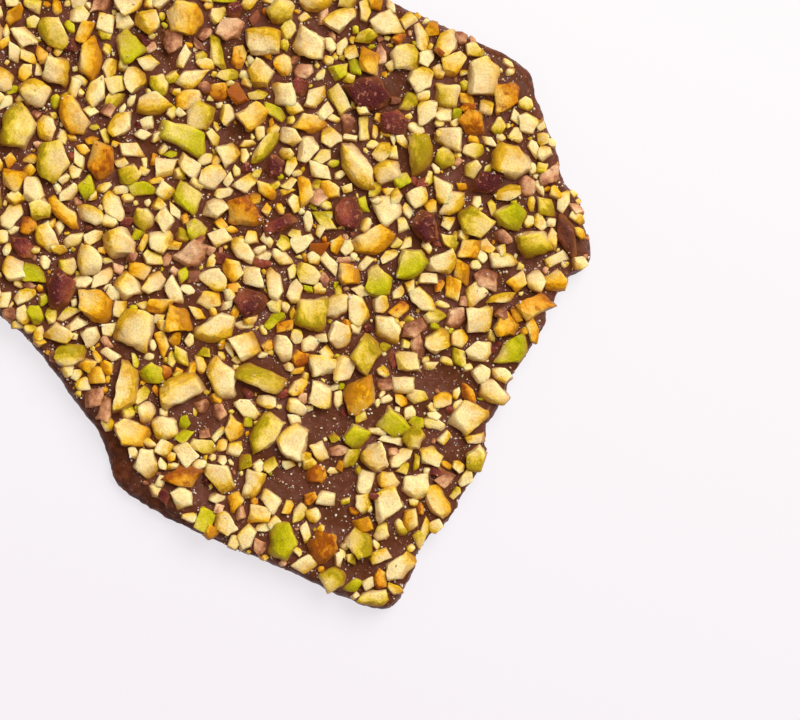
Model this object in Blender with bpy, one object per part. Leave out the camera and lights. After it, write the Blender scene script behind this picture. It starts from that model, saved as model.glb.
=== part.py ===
"""A broken shard of chocolate bark, with chopped pistachios pressed into its top.

The shard lies flat, its smooth underside on z = 0. Some of its edges were poured and slope down in a
rounded rim, and the others are rough breaks. Every chopped piece is joined to the chocolate, so the
whole is one solid.
"""

import math
import random

import bmesh
import bpy
import numpy as np
from mathutils import Matrix, Vector, noise
from mathutils.geometry import interpolate_bezier

MM = 0.001

SLAB_THICKNESS = 4.8
EDGE_STEP = 2.1
NORMAL_REACH = 5.0

# The shard's edge, anticlockwise from its right tip: x, y, width of the sloping rim, depth of the crags.
# A poured stretch has a wide rim and no crags, and a broken one a narrow rim and deep crags.
EDGE_POINTS = (
    (67.4, -7.2, 0.9, 0.1),
    (68.0, -4.2, 1.0, 0.1),
    (66.4, 1.0, 1.0, 0.2),
    (65.4, 5.4, 1.0, 0.3),
    (62.8, 9.6, 1.2, 0.3),
    (61.2, 15.5, 1.4, 0.2),
    (58.8, 22.0, 1.6, 0.1),
    (57.2, 26.4, 2.0, 0.0),
    (56.2, 30.6, 2.4, 0.0),
    (52.0, 34.4, 1.8, 0.0),
    (44.0, 38.2, 1.3, 0.1),
    (27.0, 46.0, 1.2, 0.1),
    (10.0, 54.0, 1.2, 0.1),
    (-6.0, 61.2, 1.2, 0.1),
    (-11.0, 64.6, 0.5, 0.5),
    (-24.0, 66.0, 0.4, 0.7),
    (-38.0, 63.0, 0.4, 0.7),
    (-51.5, 60.5, 0.5, 0.5),
    (-57.0, 49.0, 0.4, 0.7),
    (-62.0, 34.0, 0.4, 0.7),
    (-59.5, 16.0, 0.4, 0.7),
    (-62.5, 0.0, 0.6, 0.4),
    (-58.5, -9.0, 1.4, 0.1),
    (-50.0, -17.0, 1.6, 0.1),
    (-44.2, -22.2, 1.8, 0.1),
    (-39.6, -27.6, 2.2, 0.0),
    (-35.0, -34.2, 2.4, 0.0),
    (-31.0, -39.4, 3.2, 0.0),
    (-28.6, -44.6, 5.0, 0.0),
    (-26.6, -50.2, 5.6, 0.0),
    (-23.0, -53.6, 4.4, 0.0),
    (-10.0, -60.6, 1.8, 0.0),
    (6.0, -67.4, 1.5, 0.0),
    (20.0, -73.8, 1.4, 0.0),
    (25.4, -75.6, 1.3, 0.0),
    (28.6, -75.0, 1.0, 0.1),
    (31.8, -69.6, 0.5, 0.4),
    (34.4, -62.2, 0.4, 0.5),
    (40.2, -57.4, 0.4, 0.6),
    (42.2, -52.4, 0.4, 0.6),
    (46.2, -46.6, 0.4, 0.6),
    (46.8, -40.4, 0.4, 0.6),
    (50.4, -33.4, 0.4, 0.6),
    (53.6, -26.4, 0.4, 0.6),
    (57.6, -20.0, 0.4, 0.6),
    (60.4, -13.6, 0.4, 0.5),
    (63.6, -9.8, 0.6, 0.3),
)
CRAG_LENGTHS = (7.0, 2.6)
CRAG_SHARES = (0.7, 0.45)

# The rim's section: share of the thickness, share of the rim's width that it lies in from the edge.
RIM_SECTION = ((0.0, 0.12), (0.22, 0.0), (0.55, 0.14), (0.84, 0.45), (1.0, 1.0))

# The pieces that catch the eye, largest first: x, y, length, width, and the way the length points, in degrees.
SHOWN_PIECES = (
    (-13.2, 18.0, 11.4, 5.6, -32),
    (3.6, -40.6, 11.6, 6.2, 58),
    (-22.8, -20.6, 10.6, 7.4, 60),
    (2.4, -29.0, 10.4, 6.8, -14),
    (21.0, 12.8, 11.2, 6.6, -64),
    (-46.2, 19.6, 10.0, 7.6, 75),
    (-36.8, 3.2, 10.0, 3.8, -50),
    (-24.8, -31.0, 10.4, 5.6, 84),
    (-13.4, -32.6, 9.8, 7.2, 25),
    (-7.2, -20.0, 9.8, 6.0, 25),
    (-5.0, -30.0, 9.8, 5.8, -72),
    (3.4, 16.0, 9.6, 3.6, 50),
    (46.6, 30.4, 8.6, 7.0, 66),
    (51.8, 13.6, 8.6, 7.6, -40),
    (12.4, -17.2, 9.2, 6.2, -78),
    (-12.4, 42.4, 8.2, 7.6, 86),
    (23.8, 27.2, 8.4, 7.2, -8),
    (33.4, 14.0, 8.0, 6.6, 80),
    (-39.2, 13.6, 8.8, 6.6, 78),
    (24.6, -2.6, 9.0, 5.8, 18),
    (-13.2, -49.4, 8.8, 4.8, 8),
    (44.0, -37.8, 8.4, 6.0, 14),
    (-34.6, 22.0, 8.6, 5.8, -62),
    (-39.0, 39.4, 8.2, 5.4, -64),
    (-31.4, 33.8, 8.6, 5.0, 86),
    (63.6, -2.0, 9.8, 4.6, -70),
    (6.4, -62.0, 8.4, 6.0, 80),
    (-30.8, -15.2, 8.4, 6.0, -30),
    (23.2, -24.4, 8.4, 6.0, -66),
    (32.0, -6.6, 7.8, 6.0, 40),
    (-23.2, -40.4, 7.6, 5.6, -20),
    (21.8, -32.4, 7.6, 6.4, 70),
    (28.0, -37.8, 7.8, 5.0, -32),
    (-29.4, 13.4, 8.6, 5.8, -80),
    (-19.0, 24.6, 7.8, 5.0, 10),
    (-9.4, 22.4, 7.4, 5.2, 22),
    (-1.4, 3.4, 7.6, 6.4, -36),
    (50.6, 26.2, 7.2, 5.4, 30),
    (56.0, -3.4, 6.8, 6.4, 20),
    (57.2, -15.2, 6.2, 5.4, -12),
    (14.8, -63.8, 7.2, 6.2, 60),
    (27.8, -55.0, 7.0, 6.2, 40),
    (33.0, -51.0, 6.2, 5.9, 0),
    (37.6, -54.4, 7.2, 5.0, -72),
    (-20.0, 41.4, 5.8, 5.4, 0),
    (45.6, -18.2, 7.2, 5.2, 60),
    (52.4, -24.4, 7.8, 4.4, 36),
    (25.0, -73.4, 7.4, 3.7, 6),
    (-12.4, 6.2, 7.8, 4.8, -60),
    (9.0, -42.6, 7.4, 6.6, 60),
    (44.6, 21.2, 5.8, 5.2, -40),
    (50.8, -19.4, 5.6, 5.0, 20),
    (13.2, -49.0, 5.0, 3.8, -4),
    (24.8, -45.4, 5.8, 5.4, -40),
    (12.0, 37.2, 7.6, 6.8, -50),
    (31.0, 34.4, 6.6, 5.6, -30),
    (35.2, 0.0, 6.8, 6.0, -60),
    (52.0, 2.4, 6.4, 6.0, -30),
    (-37.8, -12.2, 7.8, 5.8, 70),
    (0.4, -14.6, 6.6, 6.2, 20),
)

# The rest of the chopped nuts, from large to small: how many are tried, shortest, longest.
SCATTERED = ((110, 5.6, 7.4), (280, 4.4, 6.0), (420, 3.2, 4.6))
SCATTER_SEED = 41
SCATTER_TRIES = 70
ASPECT = (0.48, 0.95)
MOST_OVERLAP = 0.2
EDGE_SHARE = 0.2
CELL = 0.5

# Where the chocolate shows bare: x, y, half length, half width.
BARE_PATCHES = (
    (-3.6, 18.6, 3.4, 1.6),
    (15.0, -38.6, 4.6, 3.0),
    (8.4, -50.4, 4.6, 3.4),
    (19.0, -50.0, 3.2, 2.6),
    (37.6, -29.6, 4.6, 2.4),
    (17.4, -57.4, 3.0, 2.6),
    (41.0, -44.0, 2.6, 3.0),
    (21.6, -68.0, 4.0, 2.0),
    (-16.4, 33.6, 2.4, 2.0),
    (-20.4, 16.0, 2.6, 2.0),
    (29.4, 29.0, 3.0, 2.0),
    (-8.6, -38.4, 2.8, 2.0),
    (1.4, 0.6, 2.2, 1.6),
    (42.0, 10.6, 2.2, 1.6),
    (-9.0, -53.4, 2.4, 2.2),
    (29.0, -62.4, 2.8, 2.4),
    (54.8, 30.6, 2.6, 4.4),
)

FUSED_PIECES = 330
EMBEDDED = 1.3
PROUD_SHARE = 0.42
PROUD_LIMITS = (1.1, 2.9)
SHAPE_SEED = 700

CHOCOLATE_COLOUR = (0.105, 0.046, 0.033, 1.0)
CHOCOLATE_ROUGHNESS = 0.45


def clear_scene():
    for obj in list(bpy.data.objects):
        bpy.data.objects.remove(obj, do_unlink=True)


def rounded_edge():
    """The smooth closed line through EDGE_POINTS, as close points (x, y, rim, crag)."""
    count = len(EDGE_POINTS)
    places = [Vector((x, y, 0.0)) for x, y, _, _ in EDGE_POINTS]
    dense = []
    for i in range(count):
        before, here, there, after = (places[(i + k) % count] for k in (-1, 0, 1, 2))
        reach = (there - here).length / 3.0
        handle_out = here + (there - before).normalized() * reach
        handle_in = there - (after - here).normalized() * reach
        steps = 24
        for k, point in enumerate(interpolate_bezier(here, handle_out, handle_in, there, steps + 1)[:-1]):
            share = k / steps
            rim, crag = (
                EDGE_POINTS[i][j] * (1 - share) + EDGE_POINTS[(i + 1) % count][j] * share for j in (2, 3)
            )
            dense.append((point.x, point.y, rim, crag))
    return np.array(dense)


def spaced_edge(step):
    """The edge as evenly spaced points, their outward normals, their rim widths and their crag depths."""
    line = rounded_edge()
    closed = np.vstack((line, line[:1]))
    along = np.concatenate(((0.0,), np.cumsum(np.hypot(*np.diff(closed[:, :2], axis=0).T))))
    count = round(along[-1] / step)
    at = np.linspace(0.0, along[-1], count, endpoint=False)
    x, y, rim, crag = (np.interp(at, along, closed[:, k]) for k in range(4))
    reach = max(1, round(NORMAL_REACH / step))
    tangent_x = np.roll(x, -reach) - np.roll(x, reach)
    tangent_y = np.roll(y, -reach) - np.roll(y, reach)
    length = np.hypot(tangent_x, tangent_y)
    normals = np.column_stack((tangent_y / length, -tangent_x / length))
    points = np.column_stack((x, y))
    for i, (px, py) in enumerate(points.copy()):
        depth = sum(
            share * noise.noise(Vector((px / size, py / size, size)))
            for size, share in zip(CRAG_LENGTHS, CRAG_SHARES)
        )
        points[i] += normals[i] * depth * 2.0 * crag[i]
    return points, normals, rim, crag


def slab():
    """The chocolate: the edge's outline raised ring by ring along the rim's section."""
    points, normals, rim, _ = spaced_edge(EDGE_STEP)
    bm = bmesh.new()
    ring = bmesh.ops.create_circle(bm, cap_ends=False, segments=len(points), radius=1.0)["verts"]
    edges = bm.edges[:]
    bmesh.ops.contextual_create(bm, geom=edges)
    for level, (height, inset) in enumerate(RIM_SECTION):
        if level:
            raised = bmesh.ops.extrude_edge_only(bm, edges=edges)["geom"]
            edges = [item for item in raised if isinstance(item, bmesh.types.BMEdge)]
            risen = {item for item in raised if isinstance(item, bmesh.types.BMVert)}
            ring = [next(o for o in (e.other_vert(v) for e in v.link_edges) if o in risen) for v in ring]
        for vert, point, normal, width in zip(ring, points, normals, rim):
            place = point - normal * width * inset
            vert.co = Vector((place[0], place[1], height * SLAB_THICKNESS)) * MM
    bmesh.ops.contextual_create(bm, geom=edges)
    bmesh.ops.recalc_face_normals(bm, faces=bm.faces)
    mesh = bpy.data.meshes.new("chocolate_bark")
    bm.to_mesh(mesh)
    bm.free()
    return bpy.data.objects.new("chocolate_bark", mesh)


class Bed:
    """The slab's top as cells, which say where there is room for one more piece."""

    def __init__(self, points, rim):
        low = points.min(axis=0) - 1.0
        high = points.max(axis=0) + 1.0
        self.low = low
        self.shape = tuple(np.ceil((high - low) / CELL).astype(int))
        x, y = np.meshgrid(*(low[k] + (np.arange(self.shape[k]) + 0.5) * CELL for k in (0, 1)), indexing="ij")
        inside = np.zeros(self.shape, bool)
        nearest = np.full(self.shape, np.inf)
        margin = np.zeros(self.shape)
        for (ax, ay), (bx, by), width in zip(points, np.roll(points, -1, axis=0), rim):
            crosses = (ay > y) != (by > y)
            inside ^= crosses & (x < ax + (bx - ax) * (y - ay) / ((by - ay) or 1.0))
            distance = np.hypot(x - ax, y - ay)
            closer = distance < nearest
            nearest[closer] = distance[closer]
            margin[closer] = width
        self.room_to_edge = np.where(inside, nearest - margin, -1.0)
        self.taken = np.zeros(self.shape)
        for px, py, half_x, half_y in BARE_PATCHES:
            self.taken[((x - px) / half_x) ** 2 + ((y - py) / half_y) ** 2 < 1.0] = 1.0

    def window(self, x, y, length, width, heading):
        """The cells round a piece, and which of them it covers."""
        reach = length / 2 + CELL
        first = np.maximum(((x - reach - self.low[0]) / CELL, (y - reach - self.low[1]) / CELL), 0).astype(int)
        last = np.minimum(first + int(2 * reach / CELL) + 1, self.shape)
        across = (self.low[0] + (np.arange(first[0], last[0]) + 0.5) * CELL - x)[:, None]
        up = (self.low[1] + (np.arange(first[1], last[1]) + 0.5) * CELL - y)[None, :]
        cos, sin = math.cos(heading), math.sin(heading)
        along = (across * cos + up * sin) / (length / 2)
        beside = (up * cos - across * sin) / (width / 2)
        cells = (slice(first[0], last[0]), slice(first[1], last[1]))
        return cells, along * along + beside * beside < 1.0

    def share_taken(self, piece):
        cells, covered = self.window(*piece)
        return float(self.taken[cells][covered].mean()) if covered.any() else 1.0

    def take(self, piece):
        cells, covered = self.window(*piece)
        self.taken[cells][covered] = 1.0

    def edge_room(self, x, y):
        i, j = ((np.array((x, y)) - self.low) / CELL).astype(int)
        return self.room_to_edge[i, j]


def chopped_pieces():
    """Every chopped piece (x, y, length, width, heading in radians), the shown ones and then the scattered."""
    points, _, rim, _ = spaced_edge(EDGE_STEP)
    bed = Bed(points, rim)
    pieces = [(x, y, length, width, math.radians(turn)) for x, y, length, width, turn in SHOWN_PIECES]
    for piece in pieces:
        bed.take(piece)
    draw = random.Random(SCATTER_SEED)
    low, high = points.min(axis=0), points.max(axis=0)
    for count, shortest, longest in SCATTERED:
        for _ in range(count):
            length = draw.uniform(shortest, longest)
            width = length * draw.uniform(*ASPECT)
            best, least = None, MOST_OVERLAP
            for _ in range(SCATTER_TRIES):
                x, y = draw.uniform(low[0], high[0]), draw.uniform(low[1], high[1])
                heading = draw.uniform(0.0, math.pi)
                if bed.edge_room(x, y) < EDGE_SHARE * length:
                    continue
                share = bed.share_taken((x, y, length, width, heading))
                if share < least:
                    best, least = (x, y, length, width, heading), share
            if best:
                pieces.append(best)
                bed.take(best)
    return pieces


def chopped_shape(index, length, width):
    """The corners of one piece: its foot in the chocolate, and its narrower, tilted top.

    The corners stand outside the piece's ellipse by so much that the foot has the ellipse's area.
    """
    draw = random.Random(SHAPE_SEED + index)
    sides = draw.choice((4, 4, 5, 5, 6))
    swell = math.sqrt(math.tau / (sides * math.sin(math.tau / sides)))
    turn = draw.uniform(0.0, math.tau)
    proud = min(max(width * PROUD_SHARE * draw.uniform(0.8, 1.2), PROUD_LIMITS[0]), PROUD_LIMITS[1])
    tilt = draw.uniform(0.0, 0.4)
    tilt_way = draw.uniform(0.0, math.tau)
    shift = (draw.uniform(-0.08, 0.08) * length, draw.uniform(-0.08, 0.08) * width)
    foot, crown = [], []
    for k in range(sides):
        angle = turn + math.tau * (k + draw.uniform(-0.25, 0.25)) / sides
        reach = swell * draw.uniform(0.86, 1.12)
        x, y = length / 2 * reach * math.cos(angle), width / 2 * reach * math.sin(angle)
        narrow = draw.uniform(0.7, 0.95)
        top_x, top_y = x * narrow + shift[0], y * narrow + shift[1]
        lean = (top_x * math.cos(tilt_way) + top_y * math.sin(tilt_way)) / (length / 2)
        foot.append((x, y, -EMBEDDED))
        crown.append((top_x, top_y, proud * (1.0 + tilt * lean)))
    return foot, crown


def chopped_solid(index, piece):
    """One chopped piece as a tapered block that reaches down into the chocolate."""
    x, y, length, width, heading = piece
    foot, crown = chopped_shape(index, length, width)
    bm = bmesh.new()
    bmesh.ops.create_cone(bm, cap_ends=True, segments=len(foot), radius1=1.0, radius2=0.5, depth=2.0)
    place = Matrix.Translation((x, y, SLAB_THICKNESS)) @ Matrix.Rotation(heading, 4, "Z")
    round_from_x = sorted(bm.verts, key=lambda v: (v.co.z > 0, (math.atan2(v.co.y, v.co.x) + 0.01) % math.tau))
    for vert, corner in zip(round_from_x, foot + crown):
        vert.co = (place @ Vector(corner)) * MM
    mesh = bpy.data.meshes.new(f"piece_{index}")
    bm.to_mesh(mesh)
    bm.free()
    return bpy.data.objects.new(f"piece_{index}", mesh)


def chocolate_material():
    material = bpy.data.materials.new("chocolate")
    material.use_nodes = True
    shader = material.node_tree.nodes["Principled BSDF"]
    shader.inputs["Base Color"].default_value = CHOCOLATE_COLOUR
    shader.inputs["Roughness"].default_value = CHOCOLATE_ROUGHNESS
    shader.inputs["Metallic"].default_value = 0.0
    return material


def keep_outer_shell(mesh):
    """Fills the small hollows that joining seals, and drops loose scraps, by keeping the largest shell alone."""
    bm = bmesh.new()
    bm.from_mesh(mesh)
    left = set(bm.verts)
    shells = []
    while left:
        shell, edge_of_shell = set(), [left.pop()]
        while edge_of_shell:
            vert = edge_of_shell.pop()
            shell.add(vert)
            reached = {edge.other_vert(vert) for edge in vert.link_edges} & left
            left -= reached
            edge_of_shell.extend(reached)
        shells.append(shell)
    shells.sort(key=len)
    bmesh.ops.delete(bm, geom=[vert for shell in shells[:-1] for vert in shell], context="VERTS")
    bm.to_mesh(mesh)
    bm.free()


def join(base, pieces):
    """Joins the pieces to the base with one Boolean union, and removes their own objects."""
    union = base.modifiers.new("pieces", "BOOLEAN")
    union.operation = "UNION"
    union.operand_type = "COLLECTION"
    union.collection = pieces
    union.solver = "MANIFOLD"
    bpy.context.view_layer.update()
    graph = bpy.context.evaluated_depsgraph_get()
    joined = bpy.data.meshes.new_from_object(base.evaluated_get(graph))
    base.modifiers.clear()
    keep_outer_shell(joined)
    base.data = joined
    for obj in list(pieces.objects):
        bpy.data.objects.remove(obj, do_unlink=True)
    bpy.data.collections.remove(pieces)


def main():
    clear_scene()
    bark = bpy.data.collections.new("chocolate_bark")
    pieces = bpy.data.collections.new("chopped_pieces")
    for collection in (bark, pieces):
        bpy.context.scene.collection.children.link(collection)
    base = slab()
    base.data.materials.append(chocolate_material())
    bark.objects.link(base)
    laid = sorted(enumerate(chopped_pieces()), key=lambda item: -item[1][2] * item[1][3])
    for index, piece in laid[:FUSED_PIECES]:
        pieces.objects.link(chopped_solid(index, piece))
    join(base, pieces)


main()
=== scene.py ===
"""Looks of a broken shard of pistachio chocolate bark, seen from straight above on a pale table.

Lengths are in millimetres while a shape is worked out, and a finished mesh is in metres. The shard's
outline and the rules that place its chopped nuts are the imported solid's own, so every nut that is
fused to the solid stands here in the same place. The smaller nuts, the bits and the dust are only here.
"""

import logging
import math
import random
from dataclasses import dataclass, field
from enum import Enum
from typing import Any, Iterable, Sequence

import bmesh
import bpy
import numpy as np
from mathutils import Matrix, Vector, noise
from mathutils.bvhtree import BVHTree
from mathutils.geometry import interpolate_bezier


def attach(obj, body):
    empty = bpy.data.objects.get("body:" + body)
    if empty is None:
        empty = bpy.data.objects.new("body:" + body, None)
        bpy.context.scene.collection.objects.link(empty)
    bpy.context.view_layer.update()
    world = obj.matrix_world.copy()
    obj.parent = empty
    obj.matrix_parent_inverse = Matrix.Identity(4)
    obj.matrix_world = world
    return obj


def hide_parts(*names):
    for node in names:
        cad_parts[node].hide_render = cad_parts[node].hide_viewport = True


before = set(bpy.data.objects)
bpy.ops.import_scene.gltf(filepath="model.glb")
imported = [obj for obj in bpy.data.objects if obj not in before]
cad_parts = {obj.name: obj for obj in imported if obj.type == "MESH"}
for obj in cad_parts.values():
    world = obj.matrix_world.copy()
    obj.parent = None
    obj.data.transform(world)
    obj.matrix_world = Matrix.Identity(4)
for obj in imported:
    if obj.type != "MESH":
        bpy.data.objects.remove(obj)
LOG = logging.getLogger("bark")

MM = 0.001
NODE = "chocolate_bark"
BODY = "root"
NOISE_SEED = 17

Piece = tuple[float, float, float, float, float]


class Kind(Enum):
    """What a chopped piece shows: the part of the kernel it was cut from, and its toasting."""

    CREAM = "cream"
    YELLOW = "yellow"
    LIME = "lime"
    GREEN = "green"
    AMBER = "amber"
    TAN = "tan"
    SKIN = "skin"
    COATED = "coated"


# The shard's edge, anticlockwise from its right tip: x, y, width of the sloping rim, depth of the crags.
# A poured stretch has a wide rim and no crags, and a broken one a narrow rim and deep crags.
EDGE_POINTS = (
    (67.4, -7.2, 0.9, 0.1),
    (68.0, -4.2, 1.0, 0.1),
    (66.4, 1.0, 1.0, 0.2),
    (65.4, 5.4, 1.0, 0.3),
    (62.8, 9.6, 1.2, 0.3),
    (61.2, 15.5, 1.4, 0.2),
    (58.8, 22.0, 1.6, 0.1),
    (57.2, 26.4, 2.0, 0.0),
    (56.2, 30.6, 2.4, 0.0),
    (52.0, 34.4, 1.8, 0.0),
    (44.0, 38.2, 1.3, 0.1),
    (27.0, 46.0, 1.2, 0.1),
    (10.0, 54.0, 1.2, 0.1),
    (-6.0, 61.2, 1.2, 0.1),
    (-11.0, 64.6, 0.5, 0.5),
    (-24.0, 66.0, 0.4, 0.7),
    (-38.0, 63.0, 0.4, 0.7),
    (-51.5, 60.5, 0.5, 0.5),
    (-57.0, 49.0, 0.4, 0.7),
    (-62.0, 34.0, 0.4, 0.7),
    (-59.5, 16.0, 0.4, 0.7),
    (-62.5, 0.0, 0.6, 0.4),
    (-58.5, -9.0, 1.4, 0.1),
    (-50.0, -17.0, 1.6, 0.1),
    (-44.2, -22.2, 1.8, 0.1),
    (-39.6, -27.6, 2.2, 0.0),
    (-35.0, -34.2, 2.4, 0.0),
    (-31.0, -39.4, 3.2, 0.0),
    (-28.6, -44.6, 5.0, 0.0),
    (-26.6, -50.2, 5.6, 0.0),
    (-23.0, -53.6, 4.4, 0.0),
    (-10.0, -60.6, 1.8, 0.0),
    (6.0, -67.4, 1.5, 0.0),
    (20.0, -73.8, 1.4, 0.0),
    (25.4, -75.6, 1.3, 0.0),
    (28.6, -75.0, 1.0, 0.1),
    (31.8, -69.6, 0.5, 0.4),
    (34.4, -62.2, 0.4, 0.5),
    (40.2, -57.4, 0.4, 0.6),
    (42.2, -52.4, 0.4, 0.6),
    (46.2, -46.6, 0.4, 0.6),
    (46.8, -40.4, 0.4, 0.6),
    (50.4, -33.4, 0.4, 0.6),
    (53.6, -26.4, 0.4, 0.6),
    (57.6, -20.0, 0.4, 0.6),
    (60.4, -13.6, 0.4, 0.5),
    (63.6, -9.8, 0.6, 0.3),
)

# The pieces that catch the eye: x, y, length, width, the way the length points in degrees, what the
# piece shows, and the side, in degrees, on which it keeps the kernel's outer layer.
SHOWN_PIECES = (
    (-13.2, 18.0, 11.4, 5.6, -32, Kind.GREEN, -60),
    (3.6, -40.6, 11.6, 6.2, 58, Kind.LIME, 160),
    (-22.8, -20.6, 10.6, 7.4, 60, Kind.CREAM, 200),
    (2.4, -29.0, 10.4, 6.8, -14, Kind.LIME, 80),
    (21.0, 12.8, 11.2, 6.6, -64, Kind.CREAM, 215),
    (-46.2, 19.6, 10.0, 7.6, 75, Kind.LIME, 190),
    (-36.8, 3.2, 10.0, 3.8, -50, Kind.YELLOW, 225),
    (-24.8, -31.0, 10.4, 5.6, 84, Kind.CREAM, 20),
    (-13.4, -32.6, 9.8, 7.2, 25, Kind.CREAM, 110),
    (-7.2, -20.0, 9.8, 6.0, 25, Kind.CREAM, -110),
    (-5.0, -30.0, 9.8, 5.8, -72, Kind.CREAM, 170),
    (3.4, 16.0, 9.6, 3.6, 50, Kind.LIME, -40),
    (46.6, 30.4, 8.6, 7.0, 66, Kind.CREAM, 30),
    (51.8, 13.6, 8.6, 7.6, -40, Kind.CREAM, 140),
    (12.4, -17.2, 9.2, 6.2, -78, Kind.LIME, -80),
    (-12.4, 42.4, 8.2, 7.6, 86, Kind.YELLOW, -20),
    (23.8, 27.2, 8.4, 7.2, -8, Kind.SKIN, 90),
    (33.4, 14.0, 8.0, 6.6, 80, Kind.LIME, -70),
    (-39.2, 13.6, 8.8, 6.6, 78, Kind.LIME, 200),
    (24.6, -2.6, 9.0, 5.8, 18, Kind.YELLOW, -50),
    (-13.2, -49.4, 8.8, 4.8, 8, Kind.AMBER, 90),
    (44.0, -37.8, 8.4, 6.0, 14, Kind.CREAM, -10),
    (-34.6, 22.0, 8.6, 5.8, -62, Kind.YELLOW, 215),
    (-39.0, 39.4, 8.2, 5.4, -64, Kind.LIME, 200),
    (-31.4, 33.8, 8.6, 5.0, 86, Kind.YELLOW, 0),
    (63.6, -2.0, 9.8, 4.6, -70, Kind.COATED, 0),
    (6.4, -62.0, 8.4, 6.0, 80, Kind.GREEN, 180),
    (-30.8, -15.2, 8.4, 6.0, -30, Kind.YELLOW, -30),
    (23.2, -24.4, 8.4, 6.0, -66, Kind.LIME, 30),
    (32.0, -6.6, 7.8, 6.0, 40, Kind.GREEN, -60),
    (-23.2, -40.4, 7.6, 5.6, -20, Kind.YELLOW, -30),
    (21.8, -32.4, 7.6, 6.4, 70, Kind.YELLOW, 120),
    (28.0, -37.8, 7.8, 5.0, -32, Kind.GREEN, -60),
    (-29.4, 13.4, 8.6, 5.8, -80, Kind.AMBER, -60),
    (-19.0, 24.6, 7.8, 5.0, 10, Kind.CREAM, -90),
    (-9.4, 22.4, 7.4, 5.2, 22, Kind.LIME, 10),
    (-1.4, 3.4, 7.6, 6.4, -36, Kind.AMBER, 60),
    (50.6, 26.2, 7.2, 5.4, 30, Kind.AMBER, 30),
    (56.0, -3.4, 6.8, 6.4, 20, Kind.LIME, 240),
    (57.2, -15.2, 6.2, 5.4, -12, Kind.AMBER, 60),
    (14.8, -63.8, 7.2, 6.2, 60, Kind.AMBER, 240),
    (27.8, -55.0, 7.0, 6.2, 40, Kind.CREAM, 90),
    (33.0, -51.0, 6.2, 5.9, 0, Kind.CREAM, -60),
    (37.6, -54.4, 7.2, 5.0, -72, Kind.YELLOW, 30),
    (-20.0, 41.4, 5.8, 5.4, 0, Kind.CREAM, 180),
    (45.6, -18.2, 7.2, 5.2, 60, Kind.CREAM, 0),
    (52.4, -24.4, 7.8, 4.4, 36, Kind.GREEN, 0),
    (25.0, -73.4, 7.4, 3.7, 6, Kind.LIME, -90),
    (-12.4, 6.2, 7.8, 4.8, -60, Kind.GREEN, -150),
    (9.0, -42.6, 7.4, 6.6, 60, Kind.CREAM, 100),
    (44.6, 21.2, 5.8, 5.2, -40, Kind.AMBER, -60),
    (50.8, -19.4, 5.6, 5.0, 20, Kind.YELLOW, 0),
    (13.2, -49.0, 5.0, 3.8, -4, Kind.AMBER, 180),
    (24.8, -45.4, 5.8, 5.4, -40, Kind.CREAM, 180),
    (12.0, 37.2, 7.6, 6.8, -50, Kind.CREAM, 180),
    (31.0, 34.4, 6.6, 5.6, -30, Kind.LIME, 0),
    (35.2, 0.0, 6.8, 6.0, -60, Kind.SKIN, 120),
    (52.0, 2.4, 6.4, 6.0, -30, Kind.GREEN, -40),
    (-37.8, -12.2, 7.8, 5.8, 70, Kind.SKIN, 200),
    (0.4, -14.6, 6.6, 6.2, 20, Kind.SKIN, 0),
)

# Smaller pieces that stand out by their colour: x, y, and what the nearest scattered piece shows.
NOTED_PIECES = (
    (41.0, 35.8, Kind.CREAM),
    (-1.4, 38.6, Kind.TAN),
    (-4.0, 36.0, Kind.AMBER),
    (2.4, 36.6, Kind.CREAM),
    (-35.4, 35.0, Kind.SKIN),
    (-46.4, -3.4, Kind.SKIN),
    (-21.8, 19.6, Kind.SKIN),
    (-16.4, 14.2, Kind.GREEN),
    (-43.8, 11.4, Kind.YELLOW),
    (-38.6, -3.6, Kind.CREAM),
    (-21.0, -0.6, Kind.GREEN),
    (6.8, 12.0, Kind.GREEN),
    (-3.0, -10.2, Kind.AMBER),
    (-12.4, -9.8, Kind.GREEN),
    (-24.0, -14.2, Kind.GREEN),
    (-22.8, -9.2, Kind.YELLOW),
    (-19.0, -44.8, Kind.CREAM),
    (-9.8, -54.0, Kind.YELLOW),
    (-6.0, -54.0, Kind.CREAM),
    (2.6, -48.8, Kind.GREEN),
    (-11.0, -39.0, Kind.GREEN),
    (-4.4, -42.0, Kind.YELLOW),
    (39.0, -14.4, Kind.LIME),
    (41.0, -20.6, Kind.GREEN),
    (30.2, -14.4, Kind.AMBER),
    (45.6, 9.2, Kind.SKIN),
    (59.8, 10.0, Kind.TAN),
    (52.0, 21.0, Kind.YELLOW),
    (56.4, 19.6, Kind.CREAM),
    (10.0, -59.4, Kind.TAN),
    (20.4, -69.8, Kind.GREEN),
    (27.0, -66.2, Kind.CREAM),
    (31.6, -66.2, Kind.CREAM),
    (22.6, -59.8, Kind.YELLOW),
    (38.6, -44.8, Kind.YELLOW),
    (41.2, -26.8, Kind.LIME),
    (-2.8, 42.4, Kind.SKIN),
    (18.6, 3.8, Kind.SKIN),
    (5.6, 1.6, Kind.SKIN),
    (16.0, -37.2, Kind.SKIN),
    (46.0, -9.2, Kind.TAN),
    (-10.0, -5.0, Kind.TAN),
    (29.2, 21.6, Kind.SKIN),
    (3.6, -6.4, Kind.SKIN),
)

# The rest of the chopped nuts, from large to small: how many are tried, shortest, longest.
SCATTERED = ((110, 5.6, 7.4), (280, 4.4, 6.0), (420, 3.2, 4.6))
SCATTERED_BITS = ((420, 2.5, 3.7), (220, 1.5, 2.6), (170, 0.8, 1.6))

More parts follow.
